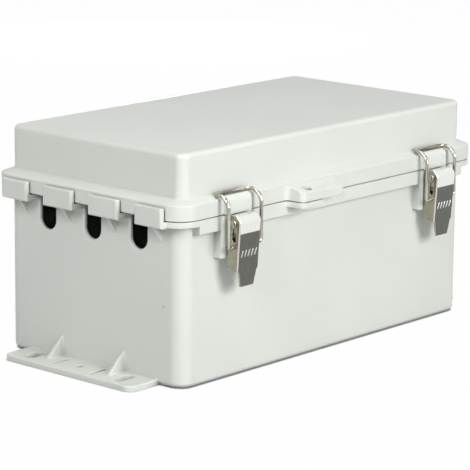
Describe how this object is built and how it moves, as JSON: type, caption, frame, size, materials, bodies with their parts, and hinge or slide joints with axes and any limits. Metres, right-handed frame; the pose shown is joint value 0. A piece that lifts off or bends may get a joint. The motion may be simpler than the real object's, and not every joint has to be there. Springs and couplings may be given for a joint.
{
  "type": "cable junction box",
  "caption": "Moulded cable junction box with wall feet, open cable slots in one end, a hinged gasketed lid and wire-bail toggle latches.",
  "frame": {"origin": "middle of the four wall-fixing slots, in the plane of the feet's underside", "axes": "+X along the box towards the end without cable slots, +Y from the latches to the hinge, +Z from the feet to the lid"},
  "size_m": [0.3556, 0.199, 0.1576],
  "materials": {
    "housing": "fine satin texture",
    "gasket": "matt",
    "latch": "bright rolled sheet",
    "pin": "drawn wire",
    "screw": "zinc plated",
    "plate": "zinc plated sheet",
    "insert": "plain",
    "terminal": "moulded polyamide"
  },
  "bodies": {
    "base": {"base_shell": "housing", "hinge_pin_left": "pin", "hinge_pin_right": "pin", "left_latch_bracket": "latch", "left_latch_pivot_pin": "pin", "left_latch_screws": "screw", "right_latch_bracket": "latch", "right_latch_pivot_pin": "pin", "right_latch_screws": "screw", "mounting_plate": "plate", "plate_inserts": "insert", "plate_washers": "screw", "plate_screws": "screw", "terminal_rail": "plate", "rail_screws": "screw", "terminal_blocks": "terminal", "terminal_screws": "screw", "rail_end_stops": "terminal"},
    "lid": {"lid_shell": "housing", "lid_gasket": "gasket"},
    "left_lever": {"left_latch_lever": "latch"},
    "left_bail": {"left_latch_bail": "pin"},
    "right_lever": {"right_latch_lever": "latch"},
    "right_bail": {"right_latch_bail": "pin"}
  },
  "joints": [
    {"name": "lid_hinge", "type": "hinge", "parent": "base", "child": "lid", "pos_m": [0, 0.093, 0.114], "axis": [-1, 0, 0], "range_deg": [0, 110]},
    {"name": "left_latch_lever", "type": "hinge", "parent": "base", "child": "left_lever", "pos_m": [-0.1063, -0.0955, 0.1093], "axis": [-1, 0, 0], "range_deg": [0, 120]},
    {"name": "left_latch_bail", "type": "hinge", "parent": "left_lever", "child": "left_bail", "pos_m": [-0.1063, -0.096, 0.0935], "axis": [-1, 0, 0], "range_deg": [-198, 0]},
    {"name": "right_latch_lever", "type": "hinge", "parent": "base", "child": "right_lever", "pos_m": [0.1063, -0.0955, 0.1093], "axis": [-1, 0, 0], "range_deg": [0, 120]},
    {"name": "right_latch_bail", "type": "hinge", "parent": "right_lever", "child": "right_bail", "pos_m": [0.1063, -0.096, 0.0935], "axis": [-1, 0, 0], "range_deg": [-198, 0]}
  ],
  "couplings": [
    {"joint": "left_latch_bail", "follows": "left_latch_lever", "ratio": -1.65},
    {"joint": "right_latch_bail", "follows": "right_latch_lever", "ratio": -1.65}
  ]
}
